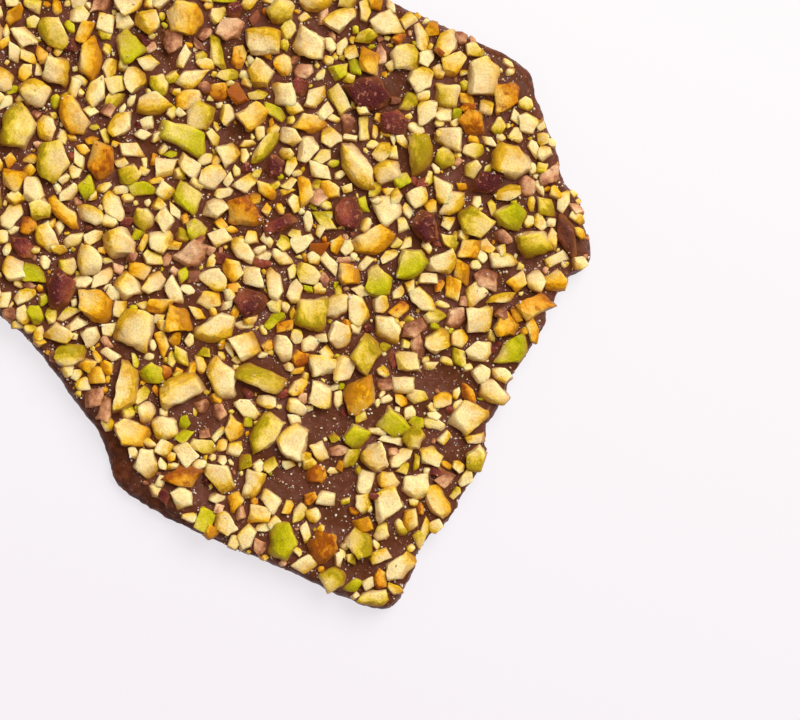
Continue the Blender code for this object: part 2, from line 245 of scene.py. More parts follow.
# Where the chocolate shows bare: x, y, half length, half width.
BARE_PATCHES = (
    (-3.6, 18.6, 3.4, 1.6),
    (15.0, -38.6, 4.6, 3.0),
    (8.4, -50.4, 4.6, 3.4),
    (19.0, -50.0, 3.2, 2.6),
    (37.6, -29.6, 4.6, 2.4),
    (17.4, -57.4, 3.0, 2.6),
    (41.0, -44.0, 2.6, 3.0),
    (21.6, -68.0, 4.0, 2.0),
    (-16.4, 33.6, 2.4, 2.0),
    (-20.4, 16.0, 2.6, 2.0),
    (29.4, 29.0, 3.0, 2.0),
    (-8.6, -38.4, 2.8, 2.0),
    (1.4, 0.6, 2.2, 1.6),
    (42.0, 10.6, 2.2, 1.6),
    (-9.0, -53.4, 2.4, 2.2),
    (29.0, -62.4, 2.8, 2.4),
    (54.8, 30.6, 2.6, 4.4),
)

# How many of the pieces, the largest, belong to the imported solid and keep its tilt.
FUSED_PIECES = 330


@dataclass(frozen=True)
class Habit:
    """How one kind turns up among the scattered pieces.

    The weight says how often, and longest is the length that no scattered piece of the kind passes. The
    kernel's outside faces up with a slope between the two of rise, and relief is the surface's
    unevenness as a share of the piece's width.
    """

    weight: int
    rise: tuple[float, float]
    longest: float = 99.0
    relief: float = 0.05


HABITS = {
    Kind.CREAM: Habit(44, (-0.3, 0.25)),
    Kind.YELLOW: Habit(16, (-0.2, 0.6)),
    Kind.LIME: Habit(15, (-0.1, 0.6)),
    Kind.GREEN: Habit(4, (0.1, 0.9)),
    Kind.AMBER: Habit(4, (0.0, 1.0), longest=5.4),
    Kind.TAN: Habit(12, (0.0, 1.0), longest=5.6, relief=0.08),
    Kind.SKIN: Habit(3, (0.5, 1.8), longest=5.0, relief=0.12),
    Kind.COATED: Habit(1, (0.2, 1.0), longest=5.0, relief=0.12),
}


def linear(hex_colour: str) -> tuple[float, float, float, float]:
    """Turns an sRGB hex colour to the linear values a shader takes.

    Args:
        hex_colour: Six hex digits after a hash sign.

    Returns:
        Red, green, blue and an alpha of 1.
    """
    shares = [int(hex_colour[k:k + 2], 16) / 255 for k in (1, 3, 5)]
    red, green, blue = (c / 12.92 if c <= 0.04045 else ((c + 0.055) / 1.055) ** 2.4 for c in shares)
    return red, green, blue, 1.0


def set_inputs(node: bpy.types.Node, inputs: dict[Any, Any]) -> None:
    """Sets or links a node's inputs.

    Args:
        node: The node.
        inputs: Input name or index to a value, or to the output socket that feeds it.
    """
    for name, value in inputs.items():
        if isinstance(value, bpy.types.NodeSocket):
            node.id_data.links.new(value, node.inputs[name])
        else:
            node.inputs[name].default_value = value


def add_node(
    material: bpy.types.Material,
    kind: str,
    inputs: dict[Any, Any] | None = None,
    stops: Sequence[tuple[float, str]] = (),
    **settings: Any,
) -> Any:
    """Adds one shader node.

    Args:
        material: The material that gets the node.
        kind: The node's type name.
        inputs: Input name or index to a value, or to the output socket that feeds it.
        stops: The positions and hex colours of a colour ramp, in rising order.
        settings: The node's own properties.

    Returns:
        The new node.
    """
    node = material.node_tree.nodes.new(kind)
    for name, value in settings.items():
        setattr(node, name, value)
    if stops:
        elements = node.color_ramp.elements
        for end in (0, -1):
            elements[end].position, elements[end].color = stops[end][0], linear(stops[end][1])
        for position, hex_colour in stops[1:-1]:
            elements.new(position).color = linear(hex_colour)
    set_inputs(node, inputs or {})
    return node


def new_material(name: str) -> tuple[bpy.types.Material, Any]:
    """Makes a material with its Principled shader.

    Args:
        name: The material's name.

    Returns:
        The material and its Principled node.
    """
    material = bpy.data.materials.new(name)
    material.use_nodes = True
    return material, material.node_tree.nodes["Principled BSDF"]


def middle_of(part: bmesh.types.BMVert | bmesh.types.BMEdge | bmesh.types.BMFace) -> Vector:
    """The place of a vertex, or the mean place of an edge's or a face's vertices."""
    verts = [part] if isinstance(part, bmesh.types.BMVert) else part.verts
    return sum((vert.co for vert in verts), Vector()) / len(verts)


@dataclass(frozen=True)
class Outline:
    """The shard's edge seen from above."""

    edge_step: float = 2.1
    normal_reach: float = 5.0
    crag_lengths: tuple[float, float] = (7.0, 2.6)
    crag_shares: tuple[float, float] = (0.7, 0.45)
    curve_steps: int = 24

    def rounded(self) -> np.ndarray:
        """The smooth closed line through EDGE_POINTS, as close points (x, y, rim, crag)."""
        count = len(EDGE_POINTS)
        places = [Vector((x, y, 0.0)) for x, y, _, _ in EDGE_POINTS]
        dense = []
        for i in range(count):
            before, here, there, after = (places[(i + k) % count] for k in (-1, 0, 1, 2))
            reach = (there - here).length / 3.0
            handle_out = here + (there - before).normalized() * reach
            handle_in = there - (after - here).normalized() * reach
            line = interpolate_bezier(here, handle_out, handle_in, there, self.curve_steps + 1)[:-1]
            for k, point in enumerate(line):
                share = k / self.curve_steps
                rim, crag = (
                    EDGE_POINTS[i][j] * (1 - share) + EDGE_POINTS[(i + 1) % count][j] * share for j in (2, 3)
                )
                dense.append((point.x, point.y, rim, crag))
        return np.array(dense)

    def spaced(self, step: float) -> tuple[np.ndarray, np.ndarray, np.ndarray, np.ndarray]:
        """Spaces points evenly along the edge, its crags included.

        Args:
            step: The distance between points.

        Returns:
            The points, their outward normals, their rim widths and their crag depths.
        """
        line = self.rounded()
        closed = np.vstack((line, line[:1]))
        along = np.concatenate(((0.0,), np.cumsum(np.hypot(*np.diff(closed[:, :2], axis=0).T))))
        count = round(along[-1] / step)
        at = np.linspace(0.0, along[-1], count, endpoint=False)
        x, y, rim, crag = (np.interp(at, along, closed[:, k]) for k in range(4))
        reach = max(1, round(self.normal_reach / step))
        tangent_x = np.roll(x, -reach) - np.roll(x, reach)
        tangent_y = np.roll(y, -reach) - np.roll(y, reach)
        length = np.hypot(tangent_x, tangent_y)
        normals = np.column_stack((tangent_y / length, -tangent_x / length))
        points = np.column_stack((x, y))
        for i, (px, py) in enumerate(points.copy()):
            depth = sum(
                share * noise.noise(Vector((px / size, py / size, size)))
                for size, share in zip(self.crag_lengths, self.crag_shares)
            )
            points[i] += normals[i] * depth * 2.0 * crag[i]
        return points, normals, rim, crag


@dataclass
class Bed:
    """The slab's top as cells, which say where there is room for one more piece."""

    outline: Outline
    cell: float = 0.5
    low: np.ndarray = field(init=False)
    shape: tuple[int, int] = field(init=False)
    room_to_edge: np.ndarray = field(init=False)
    taken: np.ndarray = field(init=False)
    covered: np.ndarray = field(init=False)
    bank: np.ndarray = field(init=False)

    def __post_init__(self) -> None:
        """Marks the cells inside the edge and those that stay bare."""
        points, _, rim, _ = self.outline.spaced(self.outline.edge_step)
        self.low = points.min(axis=0) - 1.0
        high = points.max(axis=0) + 1.0
        self.shape = tuple(np.ceil((high - self.low) / self.cell).astype(int))
        middles = (self.low[k] + (np.arange(self.shape[k]) + 0.5) * self.cell for k in (0, 1))
        x, y = np.meshgrid(*middles, indexing="ij")
        inside = np.zeros(self.shape, bool)
        nearest = np.full(self.shape, np.inf)
        margin = np.zeros(self.shape)
        for (ax, ay), (bx, by), width in zip(points, np.roll(points, -1, axis=0), rim):
            crosses = (ay > y) != (by > y)
            inside ^= crosses & (x < ax + (bx - ax) * (y - ay) / ((by - ay) or 1.0))
            distance = np.hypot(x - ax, y - ay)
            closer = distance < nearest
            nearest[closer] = distance[closer]
            margin[closer] = width
        self.room_to_edge = np.where(inside, nearest - margin, -99.0)
        self.taken = np.zeros(self.shape)
        self.covered = np.zeros(self.shape, bool)
        self.bank = np.zeros(self.shape)
        for px, py, half_x, half_y in BARE_PATCHES:
            self.taken[((x - px) / half_x) ** 2 + ((y - py) / half_y) ** 2 < 1.0] = 1.0

    def window(
        self, x: float, y: float, length: float, width: float, heading: float
    ) -> tuple[tuple[slice, slice], np.ndarray]:
        """Finds the cells round a piece.

        Args:
            x: The piece's middle.
            y: The piece's middle.
            length: Its length.
            width: Its width.
            heading: The way its length points, in radians.

        Returns:
            The cells, and how far each lies from the middle, where 1 is the piece's own edge, squared.
        """
        reach = length / 2 + self.cell
        corner = ((x - reach - self.low[0]) / self.cell, (y - reach - self.low[1]) / self.cell)
        first = np.maximum(corner, 0).astype(int)
        last = np.minimum(first + int(2 * reach / self.cell) + 1, self.shape)
        across = (self.low[0] + (np.arange(first[0], last[0]) + 0.5) * self.cell - x)[:, None]
        up = (self.low[1] + (np.arange(first[1], last[1]) + 0.5) * self.cell - y)[None, :]
        cos, sin = math.cos(heading), math.sin(heading)
        along = (across * cos + up * sin) / (length / 2)
        beside = (up * cos - across * sin) / (width / 2)
        cells = (slice(first[0], last[0]), slice(first[1], last[1]))
        return cells, along * along + beside * beside

    def share_taken(self, piece: Piece) -> float:
        """The share of a piece's own cells that others hold."""
        cells, spread = self.window(*piece)
        own = spread < 1.0
        return float(self.taken[cells][own].mean()) if own.any() else 1.0

    def take(self, piece: Piece) -> None:
        """Gives a piece its cells."""
        cells, spread = self.window(*piece)
        self.taken[cells][spread < 1.0] = 1.0
        self.covered[cells] |= spread < 1.0

    def raise_bank(self, piece: Piece, reach: float) -> None:
        """Lifts the chocolate in a narrow band round a piece.

        Args:
            piece: The piece that the chocolate creeps up.
            reach: How far the band goes out from the piece.
        """
        x, y, length, width, heading = piece
        cells, spread = self.window(x, y, length + 2 * reach, width + 2 * reach, heading)
        edge = width / (width + 2 * reach)
        rise = np.clip((1.0 - np.sqrt(spread)) / (1.0 - edge), 0.0, 1.0)
        self.bank[cells] = np.maximum(self.bank[cells], rise)

    def cell_of(self, x: float, y: float) -> tuple[int, int]:
        """The cell that holds a point."""
        i, j = ((np.array((x, y)) - self.low) / self.cell).astype(int)
        return min(i, self.shape[0] - 1), min(j, self.shape[1] - 1)

    def edge_room(self, x: float, y: float) -> float:
        """How far a point lies inside the rim."""
        return self.room_to_edge[self.cell_of(x, y)]


@dataclass
class Scatter:
    """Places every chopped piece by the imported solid's rule, and then the bits between them."""

    bed: Bed
    seed: int = 41
    tries: int = 70
    aspect: tuple[float, float] = (0.48, 0.95)
    most_overlap: float = 0.2
    edge_share: float = 0.2
    bit_seed: int = 97
    bit_tries: int = 45
    bit_overlap: float = 0.42
    bit_inset: float = -0.5

    def pieces(self) -> list[Piece]:
        """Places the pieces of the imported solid, the shown ones and then the scattered.

        Returns:
            The pieces as x, y, length, width and heading in radians.
        """
        pieces = [(x, y, length, width, math.radians(turn)) for x, y, length, width, turn, _, _ in SHOWN_PIECES]
        for piece in pieces:
            self.bed.take(piece)
        points = self.bed.outline.spaced(self.bed.outline.edge_step)[0]
        draw = random.Random(self.seed)
        low, high = points.min(axis=0), points.max(axis=0)
        for count, shortest, longest in SCATTERED:
            for _ in range(count):
                length = draw.uniform(shortest, longest)
                width = length * draw.uniform(*self.aspect)
                best, least = None, self.most_overlap
                for _ in range(self.tries):
                    x, y = draw.uniform(low[0], high[0]), draw.uniform(low[1], high[1])
                    heading = draw.uniform(0.0, math.pi)
                    if self.bed.edge_room(x, y) < self.edge_share * length:
                        continue
                    share = self.bed.share_taken((x, y, length, width, heading))
                    if share < least:
                        best, least = (x, y, length, width, heading), share
                if best:
                    pieces.append(best)
                    self.bed.take(best)
        return pieces

    def bits(self) -> list[Piece]:
        """Places the small bits in the gaps.

        Returns:
            The bits as x, y, length, width and heading in radians.
        """
        draw = random.Random(self.bit_seed)
        low = self.bed.low
        span = np.array(self.bed.shape) * self.bed.cell
        bits = []
        for count, shortest, longest in SCATTERED_BITS:
            for _ in range(count):
                length = draw.uniform(shortest, longest)
                width = length * draw.uniform(*self.aspect)
                for _ in range(self.bit_tries):
                    x, y = low[0] + draw.uniform(0.0, span[0]), low[1] + draw.uniform(0.0, span[1])
                    bit = (x, y, length, width, draw.uniform(0.0, math.pi))
                    inside = self.bed.edge_room(x, y) > self.bit_inset
                    if inside and self.bed.share_taken(bit) <= self.bit_overlap:
                        bits.append(bit)
                        self.bed.take(bit)
                        break
        return bits


@dataclass
class Batch:
    """Many small closed bodies gathered as one mesh."""

    name: str
    places: list[np.ndarray] = field(default_factory=list)
    faces: list[np.ndarray] = field(default_factory=list)
    kernels: list[np.ndarray] = field(default_factory=list)
    tones: list[np.ndarray] = field(default_factory=list)
    feet: list[np.ndarray] = field(default_factory=list)
    count: int = 0

    def add(
        self, places: np.ndarray, faces: np.ndarray, kernel: np.ndarray, tone: float, foot: np.ndarray
    ) -> None:
        """Adds one body.

        Args:
            places: Its points in millimetres.
            faces: Its triangles.
            kernel: Where each point lies in the kernel it was cut from.
            tone: Its own shade, from 0 to 1.
            foot: How near each point is to the chocolate, from 0 to 1.
        """
        self.faces.append(faces + self.count)
        self.places.append(places)
        self.kernels.append(kernel)
        self.tones.append(np.full(len(places), tone))
        self.feet.append(foot)
        self.count += len(places)

    def build(self) -> bpy.types.Object:
        """Makes the joined object."""
        mesh = bpy.data.meshes.new(self.name)
        mesh.from_pydata(np.vstack(self.places) * MM, [], np.vstack(self.faces).tolist())
        kernel = mesh.attributes.new("kernel", "FLOAT_VECTOR", "POINT")
        kernel.data.foreach_set("vector", np.vstack(self.kernels).astype(np.float32).ravel())
        for name, values in (("tone", self.tones), ("foot", self.feet)):
            layer = mesh.attributes.new(name, "FLOAT", "POINT")
            layer.data.foreach_set("value", np.concatenate(values).astype(np.float32))
        mesh.shade_smooth()
        obj = bpy.data.objects.new(self.name, mesh)
        bpy.context.scene.collection.objects.link(obj)
        return obj


@dataclass(frozen=True)
class Ground:
    """The slab and the nuts laid so far, for what comes to rest on them."""

    tree: BVHTree
    above: float = 20.0

    @classmethod
    def under(cls, slab: bpy.types.Object, batches: Iterable[Batch]) -> "Ground":
        """Gathers the surface.

        Args:
            slab: The chocolate.
            batches: The nuts that are already laid.

        Returns:
            The ground in millimetres.
        """
        places = [np.array([vert.co[:] for vert in slab.data.vertices]) / MM]
        faces = [list(face.vertices) for face in slab.data.polygons]
        count = len(slab.data.vertices)
        for batch in batches:
            if batch.count:
                places.append(np.vstack(batch.places))
                faces += (np.vstack(batch.faces) + count).tolist()
                count += batch.count
        return cls(BVHTree.FromPolygons(np.vstack(places).tolist(), faces))

    def height(self, x: float, y: float) -> float | None:
        """The height of the surface at a point, or None beside the shard."""
        hit = self.tree.ray_cast(Vector((x, y, self.above)), Vector((0.0, 0.0, -1.0)))[0]
        return None if hit is None else hit.z


@dataclass
class ChoppedNut:
    """One chopped piece of kernel: flat cuts, and one side that is the kernel's own rounded outside."""

    index: int
    piece: Piece
    ground: float
    habit: Habit
    side: float | None = None
    lean: float = 0.0
    weld: float = 0.05
    # The rounding and smoothing take this much off the block's width again.
    fill: float = 1.05
    warp: float = 0.075
    most_relief: float = 0.45
    # The sizes of the surface's lumps, and of the bends of the whole piece.
    lump_sizes: tuple[float, float] = (2.1, 0.75)
    bend_sizes: tuple[float, float] = (3.4, 1.3)
    # The slope of a cut, and how far out it lies as a share of the block's reach that way.
    main_slope: tuple[float, float] = (0.7, 1.5)
    main_reach: tuple[float, float] = (0.72, 0.86)
    cut_slope: tuple[float, float] = (0.25, 1.6)
    cut_reach: tuple[float, float] = (0.74, 0.92)
    # Narrower pieces are too small to carry relief.
    refined_width: float = 1.5
    smoothing: float = 0.45
    # How much of what stands out of the kernel's round outside is left.
    outside_left: float = 0.12
    embedded: float = 1.3
    proud_share: float = 0.42
    proud_limits: tuple[float, float] = (1.1, 2.9)
    shape_seed: int = 700
    detail_seed: int = 9000
    kernel_radii: tuple[float, float, float] = (6.2, 4.7, 4.4)
    # Below this height a piece is sunk in the chocolate.
    buried: float = -0.4
    finest_edge: float = 0.85
    edge_share: float = 0.12
    # A slanted way, on which no two points of a block lie equally far.
    line_up: tuple[float, float, float] = (1.0, 0.6181, 0.3773)

    def shape(self) -> tuple[list[tuple[float, float, float]], list[tuple[float, float, float]]]:
        """The corners of the piece: its foot in the chocolate, and its narrower, tilted top."""
        _, _, length, width, _ = self.piece
        draw = random.Random(self.shape_seed + self.index)
        sides = draw.choice((4, 4, 5, 5, 6))
        swell = math.sqrt(math.tau / (sides * math.sin(math.tau / sides)))
        turn = draw.uniform(0.0, math.tau)
        proud = width * self.proud_share * draw.uniform(0.8, 1.2)
        proud = min(max(proud, min(self.proud_limits[0], 0.5 * width)), self.proud_limits[1])
        tilt = draw.uniform(0.0, 0.4)
        tilt_way = draw.uniform(0.0, math.tau)
        shift = (draw.uniform(-0.08, 0.08) * length, draw.uniform(-0.08, 0.08) * width)
        foot, crown = [], []
        for k in range(sides):
            angle = turn + math.tau * (k + draw.uniform(-0.25, 0.25)) / sides
            reach = swell * draw.uniform(0.86, 1.12)
            x, y = length / 2 * reach * math.cos(angle), width / 2 * reach * math.sin(angle)
            narrow = draw.uniform(0.7, 0.95)
            top_x, top_y = x * narrow + shift[0], y * narrow + shift[1]
            lean = (top_x * math.cos(tilt_way) + top_y * math.sin(tilt_way)) / (length / 2)
            foot.append((x, y, -min(self.embedded, width)))
            crown.append((top_x, top_y, proud * (1.0 + tilt * lean)))
        return foot, crown

    def block(self, draw: random.Random, way: float) -> bmesh.types.BMesh:
        """Cuts the piece's block, first on its kernel's outer side, and rounds its edges.

        Args:
            draw: The piece's own random draws.
            way: The way that the kernel's outside faces, in the piece's own frame.

        Returns:
            The block in millimetres, round its own middle.
        """
        foot, crown = self.shape()
        width = self.piece[3]
        bm = bmesh.new()
        bmesh.ops.create_cone(bm, cap_ends=True, segments=len(foot), radius1=1.0, radius2=0.5, depth=2.0)
        order = sorted(bm.verts, key=lambda v: (v.co.z > 0, (math.atan2(v.co.y, v.co.x) + 0.01) % math.tau))
        for vert, (x, y, z) in zip(order, foot + crown):
            vert.co = (x * self.fill, y * self.fill, z)
        cuts = [(way, draw.uniform(*self.main_slope), draw.uniform(*self.main_reach))]
        limits = ((0.0, math.tau), self.cut_slope, self.cut_reach)
        for _ in range(draw.choice((1, 1, 2, 2, 3))):
            cuts.append(tuple(draw.uniform(*limit) for limit in limits))
        for facing, slope, share in cuts:
            normal = Vector((math.cos(facing), math.sin(facing), slope)).normalized()
            reach = max(normal.dot(v.co) for v in bm.verts)
            cut = bmesh.ops.bisect_plane(
                bm,
                geom=bm.verts[:] + bm.edges[:] + bm.faces[:],
                plane_co=normal * reach * share,
                plane_no=normal,
                clear_outer=True,
            )["geom_cut"]
            rim = [item for item in cut if isinstance(item, bmesh.types.BMEdge)]
            bmesh.ops.contextual_create(bm, geom=rim)
        bmesh.ops.bevel(
            bm,
            geom=[edge for edge in bm.edges if max(v.co.z for v in edge.verts) > self.buried],
            offset=min(max(0.1 * width, 0.14), 0.7) * draw.uniform(0.4, 1.3),
            offset_type="OFFSET",
            affect="EDGES",
            segments=2 if width > 1.8 else 1,
            profile=0.5,
            material=-1,
            clamp_overlap=True,
        )
        # The bevel makes its points in an order that changes from run to run, so they are put in line.
        for parts in (bm.verts, bm.edges, bm.faces):
            parts.sort(key=lambda part: middle_of(part).dot(self.line_up))
        bmesh.ops.remove_doubles(bm, verts=bm.verts, dist=self.weld)
        bmesh.ops.recalc_face_normals(bm, faces=bm.faces)
        if bm.calc_volume(signed=True) < 0.0:
            bmesh.ops.reverse_faces(bm, faces=bm.faces)
        return bm

    def refine(self, bm: bmesh.types.BMesh) -> None:
        """Splits the block's long edges, where they show, until its surface can carry relief."""
        bmesh.ops.triangulate(bm, faces=bm.faces)
        longest = max(self.finest_edge, self.edge_share * self.piece[2])
        for _ in range(3):
            shown = [edge for edge in bm.edges if max(v.co.z for v in edge.verts) > self.buried]
            long = [edge for edge in shown if edge.calc_length() > 1.3 * longest]
            if not long:
                break
            bmesh.ops.subdivide_edges(bm, edges=long, cuts=1)
            bmesh.ops.triangulate(bm, faces=[face for face in bm.faces if len(face.verts) > 3])
        axes = {f"use_axis_{axis}": True for axis in "xyz"}
        bmesh.ops.smooth_vert(bm, verts=bm.verts, factor=self.smoothing, **axes)

    def place_in_kernel(
        self, bm: bmesh.types.BMesh, draw: random.Random, way: float
    ) -> tuple[Vector, Vector]:
        """Chooses where in its kernel the piece was cut.

        Args:
            bm: The piece's block.
            draw: The piece's own random draws.
            way: The way that the kernel's outside faces, in the piece's own frame.

        Returns:
            The kernel's middle, and its radii.
        """
        _, _, length, width, _ = self.piece
        usual = self.kernel_radii
        radii = Vector((max(usual[0], 0.62 * length), max(usual[1], 0.66 * width), usual[2]))
        outward = Vector((math.cos(way), math.sin(way), draw.uniform(*self.habit.rise))).normalized()
        cut_in = self.side is not None or draw.random() < (0.75 if width > 2.4 else 0.4)
        reach = max(outward.dot(v.co) for v in bm.verts) * draw.uniform(0.8, 0.97)
        if not cut_in:
            reach += draw.uniform(0.4, 1.6)
        support = Vector([outward[k] * radii[k] for k in range(3)]).length
        middle = outward * (reach - support)
        middle.z += 0.4
        return middle, radii

    def add_to(self, batch: Batch) -> None:
        """Makes the piece and adds it to its batch.

        Args:
            batch: The batch of the piece's kind.
        """
        x, y, _, width, heading = self.piece
        draw = random.Random(self.detail_seed + self.index)
        way = draw.uniform(0.0, math.tau) if self.side is None else math.radians(self.side) - heading
        bm = self.block(draw, way)
        if width > self.refined_width:
            self.refine(bm)
        else:
            bmesh.ops.triangulate(bm, faces=bm.faces)
        middle, radii = self.place_in_kernel(bm, draw, way)
        bm.normal_update()
        relief = min(self.habit.relief * width, self.most_relief)
        seed = Vector((self.index * 3.1, self.index * 1.7, 0.0))
        kernel = []
        for vert in bm.verts:
            broad, fine = (noise.noise(vert.co / size + seed) for size in self.lump_sizes)
            bend = noise.noise_vector(vert.co / self.bend_sizes[0] - seed)
            bend += 0.5 * noise.noise_vector(vert.co / self.bend_sizes[1] + seed)
            bend.z *= 0.4
            vert.co += vert.normal * relief * (broad + 0.6 * fine) + bend * self.warp * width
            inside = Vector([(vert.co[k] - middle[k]) / radii[k] for k in range(3)])
            depth = inside.length
            if depth > 1.0:
                kept = inside / depth * (1.0 + self.outside_left * (depth - 1.0))
                vert.co = Vector([middle[k] + kept[k] * radii[k] for k in range(3)])
                inside = kept
            kernel.append(inside[:])
        bm.verts.index_update()
        heights = np.array([vert.co.z for vert in bm.verts])
        # How far down toward the chocolate each point lies; the finish paints the foot's stain and painted
        # shade with it.
        foot = np.clip(1.1 - heights / (0.85 * heights.max()), 0.0, 1.0)
        turn = Matrix.Rotation(heading, 4, "Z") @ Matrix.Rotation(self.lean, 4, "X")
        place = Matrix.Translation((x, y, self.ground)) @ turn
        places = np.array([(place @ vert.co)[:] for vert in bm.verts])
        faces = np.array([[v.index for v in face.verts] for face in bm.faces])
        bm.free()
        batch.add(places, faces, np.array(kernel), draw.random(), foot)


@dataclass
class NutField:
    """All the chopped nuts on the slab, one mesh for each kind."""

    bed: Bed
    pieces: list[Piece]
    bits: list[Piece]
    slab: bpy.types.Object
    top: float
    kind_seed: int = 5
    lean_seed: int = 61
    piece_lean: float = 0.22
    bit_lean: float = 0.5
    highest_bed: float = 2.3
    dust_seed: int = 23
    dust_count: int = 3800
    dust_sizes: tuple[float, float] = (0.14, 0.55)
    # The dust lies in drifts about this wide. The shares say how much of it falls on the patches that
    # stay bare and on the nuts, and the power how few of its grains are large.
    drift_size: float = 6.0
    bare_share: float = 0.3
    on_nut_share: float = 0.01
    small_power: float = 2.4
    dust_inset: float = -0.9
    batches: dict[Kind, Batch] = field(init=False)

    def __post_init__(self) -> None:
        """Starts one empty batch a kind."""
        self.batches = {kind: Batch(f"pistachio_{kind.value}") for kind in Kind}

    def kinds(self) -> list[Kind]:
        """Gives every piece and then every bit its kind.

        Returns:
            One kind a piece or bit.
        """
        draw = random.Random(self.kind_seed)
        laid = self.pieces + self.bits
        weights = [habit.weight for habit in HABITS.values()]
        kinds = [kind for *_, kind, _ in SHOWN_PIECES]
        for piece in laid[len(kinds):]:
            kind = draw.choices(list(HABITS), weights)[0]
            kinds.append(kind if piece[2] <= HABITS[kind].longest else Kind.CREAM)
        scattered = range(len(SHOWN_PIECES), len(laid))
        for x, y, kind in NOTED_PIECES:
            nearest = min(scattered, key=lambda i: math.hypot(laid[i][0] - x, laid[i][1] - y))
            kinds[nearest] = kind
        return kinds

    def lay_pieces(self, kinds: Sequence[Kind]) -> None:
        """Lays the pieces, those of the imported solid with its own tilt.

        Args:
            kinds: The kind of each piece.
        """
        draw = random.Random(self.lean_seed)
        by_size = sorted(range(len(self.pieces)), key=lambda i: -self.pieces[i][2] * self.pieces[i][3])
        fused = set(by_size[:FUSED_PIECES])
        for index, (piece, kind) in enumerate(zip(self.pieces, kinds)):
            side = SHOWN_PIECES[index][6] if index < len(SHOWN_PIECES) else None
            lean = 0.0 if index in fused else draw.uniform(0.0, self.piece_lean)
            ChoppedNut(index, piece, self.top, HABITS[kind], side, lean).add_to(self.batches[kind])

    def lay_bits(self, kinds: Sequence[Kind]) -> None:
        """Lets the bits come to rest on the slab, or part way up on the pieces.

        Args:
            kinds: The kind of each bit.
        """
        draw = random.Random(self.lean_seed)
        ground = Ground.under(self.slab, self.batches.values())
        for number, (bit, kind) in enumerate(zip(self.bits, kinds)):
            x, y, length = bit[:3]
            reach = 0.3 * length
            spots = ((x, y), (x - reach, y), (x + reach, y), (x, y - reach), (x, y + reach))
            heights = [ground.height(*spot) for spot in spots]
            lean = draw.uniform(0.0, self.bit_lean)
            if None in heights:
                continue
            height = float(np.median(heights))
            if height < self.top + self.highest_bed:
                nut = ChoppedNut(len(self.pieces) + number, bit, height, HABITS[kind], lean=lean)
                nut.add_to(self.batches[kind])

    def build(self) -> dict[Kind, bpy.types.Object]:
        """Builds the nuts.

        Returns:
            The joined object of each kind.
        """
        kinds = self.kinds()
        self.lay_pieces(kinds[:len(self.pieces)])
        self.lay_bits(kinds[len(self.pieces):])
        LOG.info("%d chopped pieces and %d bits", len(self.pieces), len(self.bits))
        return {kind: batch.build() for kind, batch in self.batches.items()}

    def dust(self) -> bpy.types.Object:
        """Builds the nut dust, most of it on the bare chocolate.

        Returns:
            The joined grains.
        """
        ground = Ground.under(self.slab, self.batches.values())
        grain = bmesh.new()
        bmesh.ops.create_icosphere(grain, subdivisions=1, radius=0.5)
        points = np.array([v.co[:] for v in grain.verts])
        faces = np.array([[v.index for v in face.verts] for face in grain.faces])
        grain.free()
        draw = np.random.default_rng(self.dust_seed)
        batch = Batch("pistachio_dust")
        low, span = self.bed.low, np.array(self.bed.shape) * self.bed.cell
        while len(batch.places) < self.dust_count:
            x, y = low + draw.random(2) * span
            cell = self.bed.cell_of(x, y)
            likely = 0.7 + 0.4 * noise.noise(Vector((x / self.drift_size, y / self.drift_size, 3.0)))
            if self.bed.covered[cell]:
                likely *= self.on_nut_share
            elif self.bed.taken[cell]:
                likely *= self.bare_share
            height = ground.height(x, y)
            if draw.random() > likely or height is None or self.bed.edge_room(x, y) < self.dust_inset:
                continue
            smallest, largest = self.dust_sizes
            size = smallest + (largest - smallest) * draw.random() ** self.small_power
            stretch = size * draw.uniform(0.45, 1.5, 3)
            turn = Matrix.Rotation(draw.uniform(0.0, math.tau), 3, draw.normal(size=3))
            grain_points = points * draw.uniform(0.7, 1.3, (len(points), 1)) * stretch @ np.array(turn)
            kernel = points * 2.0 * draw.random() ** 1.5
            place = grain_points + (x, y, height + 0.15 * size)
            batch.add(place, faces, kernel, draw.random(), np.zeros(len(points)))
        return batch.build()


